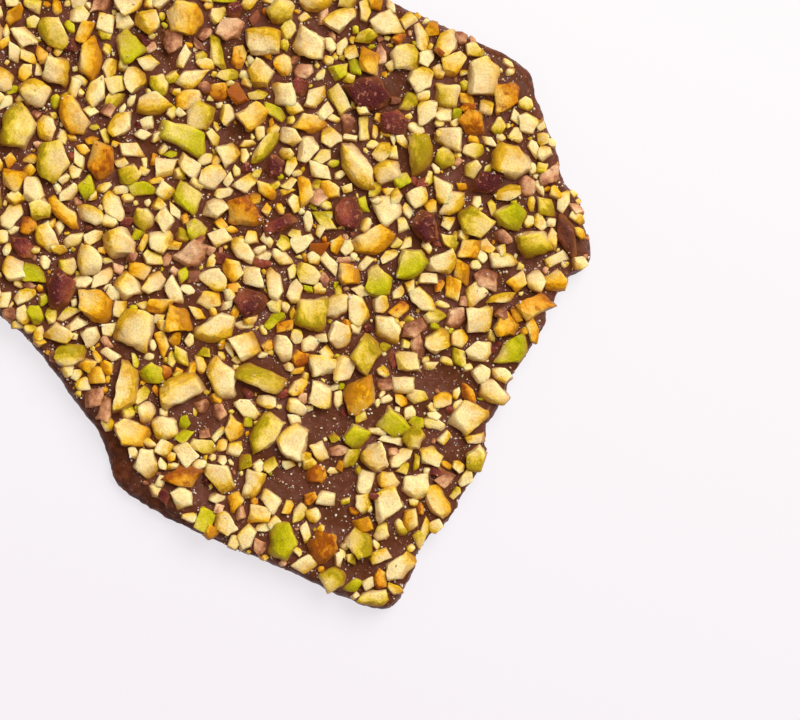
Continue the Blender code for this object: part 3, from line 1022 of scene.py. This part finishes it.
@dataclass
class Slab:
    """The chocolate itself: a flat underside, sloping poured rims, rough breaks and a gently uneven top."""

    bed: Bed
    thickness: float = 4.8
    edge_step: float = 0.55
    grid_step: float = 0.85
    rim_angle: float = 10.0
    belly_height: float = 0.22
    belly_inset: float = 0.12
    rim_power: float = 1.35
    swell: float = 0.22
    ripple: float = 0.06
    bank_height: float = 0.35
    bank_reach: float = 0.9
    crag_relief: float = 0.55
    rim_relief: float = 0.38
    lump_size: float = 2.6

    def section(self) -> list[tuple[float, float]]:
        """The rim's section as shares of the thickness and of the rim's width."""
        steps = round(90.0 / self.rim_angle)
        section = []
        for k in range(-steps, steps + 1):
            angle = math.radians(k * self.rim_angle)
            rise, depth = (self.belly_height, self.belly_inset) if k < 0 else (1.0 - self.belly_height, 1.0)
            inset = depth * (1.0 - max(math.cos(angle), 0.0) ** self.rim_power)
            section.append((self.belly_height + rise * math.sin(angle), inset))
        return section

    def shell(self) -> bmesh.types.BMesh:
        """Raises the outline ring by ring along the rim's section and closes it.

        Returns:
            The shell in millimetres. Its layers say how rough a break is, and how far out on the rim.
        """
        points, normals, rim, crag = self.bed.outline.spaced(self.edge_step)
        bm = bmesh.new()
        rough = bm.verts.layers.float.new("broken")
        outer = bm.verts.layers.float.new("rim")
        ring = bmesh.ops.create_circle(bm, cap_ends=False, segments=len(points), radius=1.0)["verts"]
        edges = bm.edges[:]
        bmesh.ops.contextual_create(bm, geom=edges)
        for level, (height, inset) in enumerate(self.section()):
            if level:
                raised = bmesh.ops.extrude_edge_only(bm, edges=edges)["geom"]
                edges = [item for item in raised if isinstance(item, bmesh.types.BMEdge)]
                risen = {item for item in raised if isinstance(item, bmesh.types.BMVert)}
                ring = [next(o for o in (e.other_vert(v) for e in v.link_edges) if o in risen) for v in ring]
            for vert, point, normal, width, depth in zip(ring, points, normals, rim, crag):
                place = point - normal * width * inset
                vert.co = (place[0], place[1], height * self.thickness)
                vert[rough] = depth * min(1.0, 4.0 * height) * (1.0 - inset)
                vert[outer] = 1.0 - inset
                lump = noise.fractal(vert.co / self.lump_size, 0.8, 2.1, 3) * self.rim_relief
                bite = noise.fractal(vert.co / 2.2, 0.8, 2.1, 3) * vert[rough] * self.crag_relief * 2.0
                vert.co.xy += Vector(normal) * (bite + lump * (1.0 - inset) * min(1.0, 4.0 * height))
                vert.co.z += lump * 4.0 * inset * (1.0 - inset) * min(1.0, 4.0 * height)
        bmesh.ops.contextual_create(bm, geom=edges)
        return bm

    def grid_top(self, bm: bmesh.types.BMesh) -> None:
        """Cuts the flat top into small squares that can follow the chocolate's unevenness."""
        low = self.bed.low
        span = np.array(self.bed.shape) * self.bed.cell
        for axis in (0, 1):
            normal = [0.0, 0.0, 0.0]
            normal[axis] = 1.0
            for cut in np.arange(low[axis] + self.grid_step, low[axis] + span[axis], self.grid_step):
                top = [f for f in bm.faces if all(v.co.z > self.thickness - 0.001 for v in f.verts)]
                spans = {f: [v.co[axis] for v in f.verts] for f in top}
                near = [f for f, span_of in spans.items() if min(span_of) < cut < max(span_of)]
                if not near:
                    continue
                # A dict keeps the order, so that every run cuts the same way.
                geom = list(dict.fromkeys(item for f in near for item in (*f.verts, *f.edges, f)))
                bmesh.ops.bisect_plane(bm, geom=geom, plane_co=[n * cut for n in normal], plane_no=normal)

    def unevenness(self, x: float, y: float) -> float:
        """How far the top rises or sinks at a point."""
        swell = self.swell * noise.noise(Vector((x / 9.0, y / 9.0, 0.3)))
        ripple = self.ripple * noise.noise(Vector((x / 2.4, y / 2.4, 5.1)))
        i, j = self.bed.cell_of(x, y)
        return swell + ripple + self.bank_height * self.bed.bank[i, j]

    def build(self) -> bpy.types.Object:
        """Builds the slab.

        Returns:
            The slab, its place in its mesh.
        """
        bm = self.shell()
        self.grid_top(bm)
        for vert in bm.verts:
            share = vert.co.z / self.thickness
            vert.co.z += share * share * self.unevenness(vert.co.x, vert.co.y)
            vert.co *= MM
        bmesh.ops.recalc_face_normals(bm, faces=bm.faces)
        if bm.calc_volume(signed=True) < 0.0:
            bmesh.ops.reverse_faces(bm, faces=bm.faces)
        bmesh.ops.triangulate(bm, faces=[f for f in bm.faces if len(f.verts) > 4])
        mesh = bpy.data.meshes.new("chocolate_slab")
        bm.to_mesh(mesh)
        bm.free()
        mesh.shade_smooth()
        slab = bpy.data.objects.new("chocolate_slab", mesh)
        bpy.context.scene.collection.objects.link(slab)
        return slab


@dataclass(frozen=True)
class ChocolateFinish:
    """Set dark milk chocolate, poured and cooled: satin, a little mottled, dull and paler where it broke."""

    name: str = "chocolate_poured"
    tints: tuple[tuple[float, str], ...] = ((0.34, "#522C12"), (0.5, "#603421"), (0.68, "#72463B"))
    # The rim's painted light: dark for shade in its lumps' hollows, pale for highlights on their tops.
    rim_tints_painted_light: tuple[tuple[float, str], ...] = ((0.38, "#3E1C0E"), (0.52, "#602C17"), (0.68, "#864A30"))
    broken: str = "#683821"
    rim_share: float = 0.8
    rim_relief: float = 4.0
    crumb: str = "#B08560"
    crumb_share: float = 0.8
    cloud_scale: float = 160.0
    mottle_scale: float = 900.0
    speck_scale: float = 1300.0
    lump_scale: float = 680.0
    pit_scale: float = 1900.0
    roughness: float = 0.38
    shine: float = 0.1

    def build(self) -> bpy.types.Material:
        """Builds the chocolate."""
        material, shader = new_material(self.name)
        where = add_node(material, "ShaderNodeTexCoord").outputs["Object"]
        # Cocoa butter clouds the surface in patches some 6 mm wide, with a finer mottle inside them.
        clouds = add_node(
            material, "ShaderNodeTexNoise", {"Vector": where, "Scale": self.cloud_scale, "Detail": 4.0}
        )
        mottle = add_node(
            material, "ShaderNodeTexNoise", {"Vector": where, "Scale": self.mottle_scale, "Detail": 3.0}
        )
        blend = add_node(
            material, "ShaderNodeMix", {"Factor": 0.4, 2: clouds.outputs["Fac"], 3: mottle.outputs["Fac"]}
        )
        tint = add_node(material, "ShaderNodeValToRGB", {"Fac": blend.outputs[0]}, stops=self.tints)
        # The finest nut meal, specks some 0.15 mm wide that have sunk into the surface.
        cells = add_node(
            material, "ShaderNodeTexVoronoi", {"Vector": where, "Scale": self.speck_scale, "Randomness": 1.0}
        )
        speck = add_node(
            material,
            "ShaderNodeMapRange",
            {"Value": cells.outputs["Distance"], "From Min": 0.08, "From Max": 0.24,
             "To Min": self.crumb_share, "To Max": 0.0},
        )
        meal = add_node(
            material,
            "ShaderNodeMapRange",
            {"Value": mottle.outputs["Fac"], "From Min": 0.45, "From Max": 0.58, "To Min": 0.0, "To Max": 1.0},
        )
        specks = add_node(
            material, "ShaderNodeMath", {0: speck.outputs[0], 1: meal.outputs[0]}, operation="MULTIPLY"
        )
        # The rims are painted redder, as if light shone through the thin chocolate, with painted shade in the
        # hollows of their lumps and painted highlights on their tops. Their lumps are about 1.5 mm wide.
        outer = add_node(material, "ShaderNodeAttribute", attribute_name="rim")
        rim_paint_share = add_node(
            material, "ShaderNodeMath", {0: outer.outputs["Fac"], 1: self.rim_share}, operation="MULTIPLY"
        )
        lumps = add_node(
            material, "ShaderNodeTexNoise", {"Vector": where, "Scale": self.lump_scale, "Detail": 5.0}
        )
        lumps_painted_light = add_node(
            material, "ShaderNodeValToRGB", {"Fac": lumps.outputs["Fac"]}, stops=self.rim_tints_painted_light
        )
        rimmed = add_node(
            material,
            "ShaderNodeMix",
            {"Factor": rim_paint_share.outputs[0], "A": tint.outputs["Color"], "B": lumps_painted_light.outputs["Color"]},
            data_type="RGBA",
        )
        rough = add_node(material, "ShaderNodeAttribute", attribute_name="broken")
        cracked = add_node(
            material,
            "ShaderNodeMix",
            {"Factor": rough.outputs["Fac"], "A": rimmed.outputs[2], "B": linear(self.broken)},
            data_type="RGBA",
        )
        colour = add_node(
            material,
            "ShaderNodeMix",
            {"Factor": specks.outputs[0], "A": cracked.outputs[2], "B": linear(self.crumb)},
            data_type="RGBA",
        )
        gloss = add_node(
            material,
            "ShaderNodeMapRange",
            {"Value": clouds.outputs["Fac"], "From Min": 0.3, "From Max": 0.7,
             "To Min": self.roughness - 0.07, "To Max": self.roughness + 0.1},
        )
        dull = add_node(
            material, "ShaderNodeMath", {0: gloss.outputs[0], 1: rough.outputs["Fac"]}, operation="MAXIMUM"
        )
        # Tiny pits and bubbles, about 0.5 mm apart.
        pits = add_node(
            material, "ShaderNodeTexNoise", {"Vector": where, "Scale": self.pit_scale, "Detail": 2.0}
        )
        relief = add_node(
            material, "ShaderNodeMix", {"Factor": 0.45, 2: mottle.outputs["Fac"], 3: pits.outputs["Fac"]}
        )
        coarse = add_node(
            material, "ShaderNodeMath", {0: outer.outputs["Fac"], 1: self.rim_relief}, operation="MULTIPLY"
        )
        height = add_node(
            material,
            "ShaderNodeMath",
            {0: lumps.outputs["Fac"], 1: coarse.outputs[0], 2: relief.outputs[0]},
            operation="MULTIPLY_ADD",
        )
        bump = add_node(
            material, "ShaderNodeBump", {"Height": height.outputs[0], "Strength": 0.4, "Distance": 0.0004}
        )
        set_inputs(shader, {
            "Base Color": colour.outputs[2],
            "Roughness": dull.outputs[0],
            "Normal": bump.outputs["Normal"],
            "IOR": 1.46,
            "Specular IOR Level": self.shine,
        })
        return material


@dataclass(frozen=True)
class KernelFinish:
    """Chopped pistachio kernel: pale in the middle of a cut, and stronger in colour towards its outside."""

    name: str
    core: str
    flesh: str
    outer: str
    rind: str
    stops: tuple[float, float, float, float] = (0.62, 0.82, 0.94, 1.02)
    patch_scale: float = 620.0
    spots: str = "#EDB45C"
    spot_share: float = 0.45
    spot_depth: tuple[float, float] = (-1.0, 0.0)
    # The foot's colour: partly a chocolate stain, partly painted shade on the pieces' lower sides.
    stain_and_shade: str = "#A06434"
    stain_and_shade_share: float = 0.85
    roughness: float = 0.45
    shine: float = 0.12
    glow: float = 0.5
    relief: float = 0.00025
    grain_scale: float = 2600.0
    streak_scale: tuple[float, float, float] = (3.0, 10.0, 10.0)
    # How much the patches, the streaks and the piece's own tone shift its colour outwards.
    patch_share: float = 0.52
    streak_share: float = 0.34
    tone_share: float = 0.24

    def build(self) -> bpy.types.Material:
        """Builds the kernel's flesh."""
        material, shader = new_material(self.name)
        where = add_node(material, "ShaderNodeTexCoord").outputs["Object"]
        kernel = add_node(material, "ShaderNodeAttribute", attribute_name="kernel")
        tone = add_node(material, "ShaderNodeAttribute", attribute_name="tone")
        depth = add_node(material, "ShaderNodeVectorMath", {0: kernel.outputs["Vector"]}, operation="LENGTH")
        # The flesh is unevenly coloured in patches about 1.5 mm wide, and skin in finer ones.
        patches = add_node(
            material, "ShaderNodeTexNoise", {"Vector": where, "Scale": self.patch_scale, "Detail": 3.0}
        )
        grain = add_node(
            material, "ShaderNodeTexNoise", {"Vector": where, "Scale": self.grain_scale, "Detail": 2.0}
        )
        uneven = add_node(
            material,
            "ShaderNodeMath",
            {0: patches.outputs["Fac"], 1: self.patch_share, 2: depth.outputs["Value"]},
            operation="MULTIPLY_ADD",
        )
        # A cut shows streaks along the kernel, about 0.5 mm wide and 2 mm long.
        lengthwise = add_node(
            material, "ShaderNodeMapping", {"Vector": kernel.outputs["Vector"], "Scale": self.streak_scale}
        )
        apart = add_node(material, "ShaderNodeMath", {0: tone.outputs["Fac"], 1: 60.0}, operation="MULTIPLY")
        streaks = add_node(
            material,
            "ShaderNodeTexNoise",
            {"Vector": lengthwise.outputs["Vector"], "W": apart.outputs[0], "Scale": 1.0, "Detail": 2.0},
            noise_dimensions="4D",
        )
        streaked = add_node(
            material,
            "ShaderNodeMath",
            {0: streaks.outputs["Fac"], 1: self.streak_share, 2: uneven.outputs[0]},
            operation="MULTIPLY_ADD",
        )
        own = add_node(
            material,
            "ShaderNodeMath",
            {0: tone.outputs["Fac"], 1: self.tone_share, 2: streaked.outputs[0]},
            operation="MULTIPLY_ADD",
        )
        level = add_node(
            material,
            "ShaderNodeMapRange",
            {"Value": own.outputs[0], "From Min": 0.5, "From Max": 1.55, "To Min": 0.0, "To Max": 1.05},
        )
        stops = tuple(zip(self.stops, (self.core, self.flesh, self.outer, self.rind)))
        tint = add_node(material, "ShaderNodeValToRGB", {"Fac": level.outputs[0]}, stops=stops)
        # Fine grain of the cut, painted darker in the pits and paler on the ridges of its own bumps, as painted
        # shade and painted highlights, and toasted spots where the kind has them.
        fine = add_node(
            material,
            "ShaderNodeMapRange",
            {"Value": grain.outputs["Fac"], "From Min": 0.3, "From Max": 0.7, "To Min": 0.82, "To Max": 1.1},
        )
        grain_painted_light = add_node(
            material,
            "ShaderNodeVectorMath",
            {0: tint.outputs["Color"], "Scale": fine.outputs[0]},
            operation="SCALE",
        )
        toasted = add_node(
            material,
            "ShaderNodeMapRange",
            {"Value": patches.outputs["Fac"], "From Min": 0.58, "From Max": 0.68,
             "To Min": 0.0, "To Max": self.spot_share},
        )
        where_spotted = add_node(
            material,
            "ShaderNodeMapRange",
            {"Value": depth.outputs["Value"], "From Min": self.spot_depth[0], "From Max": self.spot_depth[1]},
        )
        spotted = add_node(
            material, "ShaderNodeMath", {0: toasted.outputs[0], 1: where_spotted.outputs[0]},
            operation="MULTIPLY",
        )
        colour = add_node(
            material,
            "ShaderNodeMix",
            {"Factor": spotted.outputs[0], "A": grain_painted_light.outputs[0], "B": linear(self.spots)},
            data_type="RGBA",
        )
        # The foot of each piece is darkened toward the chocolate: partly a real chocolate stain, partly painted
        # shade on its lower sides.
        foot = add_node(material, "ShaderNodeAttribute", attribute_name="foot")
        stain_and_shade = add_node(
            material, "ShaderNodeMath", {0: foot.outputs["Fac"], 1: self.stain_and_shade_share}, operation="MULTIPLY"
        )
        stained_and_shaded = add_node(
            material,
            "ShaderNodeMix",
            {"Factor": stain_and_shade.outputs[0], "A": colour.outputs[2], "B": linear(self.stain_and_shade)},
            data_type="RGBA",
        )
        bump = add_node(
            material,
            "ShaderNodeBump",
            {"Height": grain.outputs["Fac"], "Strength": 0.5, "Distance": self.relief},
        )
        set_inputs(shader, {
            "Base Color": stained_and_shaded.outputs[2],
            "Normal": bump.outputs["Normal"],
            "Roughness": self.roughness,
            "IOR": 1.45,
            "Specular IOR Level": self.shine,
            "Subsurface Weight": self.glow,
            "Subsurface Radius": (1.0, 0.65, 0.25),
            "Subsurface Scale": 0.0012,
        })
        return material


KERNEL_FINISHES = {
    Kind.CREAM: KernelFinish(
        "pistachio_flesh_cream", "#FFE8AC", "#FCDD8E", "#F2CC50", "#D6AA1A", spots="#EDBA68",
        stops=(0.61, 0.82, 0.95, 1.03),
    ),
    Kind.YELLOW: KernelFinish(
        "pistachio_flesh_yellow", "#FDDC90", "#F8CA4C", "#EFB10E", "#C68604", spots="#DC922C",
        stops=(0.54, 0.75, 0.9, 1.02),
    ),
    Kind.LIME: KernelFinish(
        "pistachio_flesh_lime", "#FBE19C", "#F3D870", "#DCBF2C", "#B09A0C", spots="#A06A2A",
        spot_depth=(0.92, 1.0), stops=(0.54, 0.75, 0.9, 1.02),
    ),
    Kind.GREEN: KernelFinish(
        "pistachio_flesh_green", "#F0DA78", "#D8CA30", "#CAC20A", "#AEA904", spots="#80581C",
        spot_share=0.5, spot_depth=(0.9, 1.0), stops=(0.5, 0.68, 0.86, 1.04),
    ),
    Kind.AMBER: KernelFinish(
        "pistachio_toasted", "#F9D068", "#F0B030", "#DA8E08", "#A4560C", spots="#964814", spot_share=0.7,
        stops=(0.48, 0.7, 0.88, 1.04), patch_scale=850.0,
    ),
    Kind.TAN: KernelFinish(
        "pistachio_browned", "#F4CCA0", "#DAA478", "#B27856", "#845038", spots="#965A40", spot_share=0.6,
        stops=(0.5, 0.72, 0.9, 1.02), patch_scale=900.0,
    ),
    Kind.SKIN: KernelFinish(
        "pistachio_skin", "#C88C54", "#A0503A", "#7C3230", "#581E20", spots="#B8745A", spot_share=0.85,
        stops=(0.42, 0.66, 0.86, 1.02), patch_scale=1000.0, relief=0.0008,
    ),
    Kind.COATED: KernelFinish(
        "chocolate_coated_nut", "#98583C", "#86482E", "#743C28", "#5C2C1E", spots="#A8684A",
        stops=(0.6, 0.8, 0.95, 1.05), patch_scale=1200.0, roughness=0.4, relief=0.0004,
    ),
}
DUST_FINISH = KernelFinish(
    "pistachio_meal", "#F4DEC4", "#E8C6A2", "#D2A27E", "#A8765A", stain_and_shade_share=0.0, roughness=0.6,
    stops=(0.3, 0.6, 0.85, 1.02),
)


@dataclass
class Studio:
    """The pale table, the soft light from above and the camera that looks straight down."""

    centre: tuple[float, float] = (30.0, -26.0)
    shown_width: float = 160.0
    camera_height: float = 900.0
    sensor: float = 36.0
    floor_half: float = 3000.0
    floor_gap: float = 0.05
    # The table's painted light: a falloff from the bright colour to the dim one, and a glow that weakens the
    # shadows on it.
    floor_bright: str = "#FDFBFD"
    floor_dim: str = "#F6F1F6"
    floor_glow: float = 0.78
    sun_strength: float = 3.24
    sun_angle: float = 42.0
    sun_tilt: float = 41.0
    sun_way: float = 48.0
    sky_strength: float = 0.37
    sky_colour: str = "#FFEEDC"

    def build(self) -> None:
        """Builds the table, the light and the camera."""
        self.floor()
        self.light()
        self.camera()
        settings = bpy.context.scene.view_settings
        settings.view_transform = "Standard"
        settings.look = "None"

    def floor(self) -> None:
        """Lays the table just under the shard."""
        bm = bmesh.new()
        bmesh.ops.create_grid(bm, x_segments=1, y_segments=1, size=self.floor_half * MM)
        bmesh.ops.translate(bm, verts=bm.verts, vec=(0.0, 0.0, -self.floor_gap * MM))
        mesh = bpy.data.meshes.new("table_top")
        bm.to_mesh(mesh)
        bm.free()
        table = bpy.data.objects.new("table_top", mesh)
        bpy.context.scene.collection.objects.link(table)
        mesh.materials.append(self.floor_finish())

    def floor_finish(self) -> bpy.types.Material:
        """Builds the white table: most of its brightness is a painted glow that weakens the shadows on it, and
        a painted light falloff leaves it a little dimmer toward the bottom of the view.
        """
        material, shader = new_material("table_white_painted_glow")
        # A painted light falloff: brighter toward the upper right, dimmer toward the bottom of the view.
        where = add_node(material, "ShaderNodeTexCoord").outputs["Object"]
        split = add_node(material, "ShaderNodeSeparateXYZ", {"Vector": where})
        across = add_node(
            material, "ShaderNodeMath", {0: split.outputs["X"], 1: 0.35, 2: split.outputs["Y"]},
            operation="MULTIPLY_ADD",
        )
        share = add_node(
            material,
            "ShaderNodeMapRange",
            {"Value": across.outputs[0], "From Min": -0.1, "From Max": 0.08, "To Min": 0.0, "To Max": 1.0},
        )
        tone = add_node(
            material,
            "ShaderNodeMix",
            {"Factor": share.outputs[0], "A": linear(self.floor_dim), "B": linear(self.floor_bright)},
            data_type="RGBA",
        )
        # The painted glow carries most of the table's brightness, so that the lamps' shadows on it stay faint.
        weak = add_node(
            material,
            "ShaderNodeVectorMath",
            {0: tone.outputs[2], "Scale": 0.93 * (1.0 - self.floor_glow)},
            operation="SCALE",
        )
        set_inputs(shader, {
            "Base Color": weak.outputs[0],
            "Emission Color": tone.outputs[2],
            "Emission Strength": self.floor_glow,
            "Roughness": 0.9,
            "Specular IOR Level": 0.0,
        })
        return material

    def light(self) -> None:
        """Hangs the large soft light up and to the right, and fills from all round."""
        sun = bpy.data.lights.new("soft_key", "SUN")
        sun.energy = self.sun_strength
        sun.angle = math.radians(self.sun_angle)
        lamp = bpy.data.objects.new("soft_key", sun)
        tilt, way = math.radians(self.sun_tilt), math.radians(self.sun_way)
        toward = Vector((math.sin(tilt) * math.cos(way), math.sin(tilt) * math.sin(way), math.cos(tilt)))
        lamp.rotation_euler = toward.to_track_quat("Z", "Y").to_euler()
        bpy.context.scene.collection.objects.link(lamp)
        world = bpy.data.worlds.new("white_room")
        world.use_nodes = True
        background = world.node_tree.nodes["Background"]
        set_inputs(background, {"Color": linear(self.sky_colour), "Strength": self.sky_strength})
        bpy.context.scene.world = world

    def camera(self) -> None:
        """Sets the camera straight above the middle of the photograph's field."""
        lens = bpy.data.cameras.new("camera")
        lens.sensor_width = self.sensor
        lens.lens = self.sensor * self.camera_height / self.shown_width
        lens.clip_start = 0.01
        lens.clip_end = 10.0
        camera = bpy.data.objects.new("camera", lens)
        camera.location = (self.centre[0] * MM, self.centre[1] * MM, self.camera_height * MM)
        bpy.context.scene.collection.objects.link(camera)
        bpy.context.scene.camera = camera


def dress(obj: bpy.types.Object, material: bpy.types.Material) -> None:
    """Gives a piece its finish and joins it to the shard.

    Args:
        obj: The finished piece.
        material: Its material.
    """
    obj.data.materials.append(material)
    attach(obj, BODY)
    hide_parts(NODE)
    obj.data.calc_loop_triangles()
    LOG.info("%s: %d triangles", obj.name, len(obj.data.loop_triangles))


def main() -> None:
    """Builds the shard from the slab up, then the studio round it."""
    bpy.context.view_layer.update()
    # Unless it is given a seed, noise_vector takes one from the clock, and every run bends the nuts anew.
    noise.seed_set(NOISE_SEED)
    bed = Bed(Outline())
    scatter = Scatter(bed)
    pieces = scatter.pieces()
    for piece in pieces:
        bed.raise_bank(piece, Slab.bank_reach)
    slab = Slab(bed).build()
    nuts = NutField(bed, pieces, scatter.bits(), slab, Slab.thickness)
    for kind, obj in nuts.build().items():
        dress(obj, KERNEL_FINISHES[kind].build())
    dress(nuts.dust(), DUST_FINISH.build())
    dress(slab, ChocolateFinish().build())
    Studio().build()


if __name__ == "__main__":
    logging.basicConfig(level=logging.INFO, format="%(message)s")
    main()
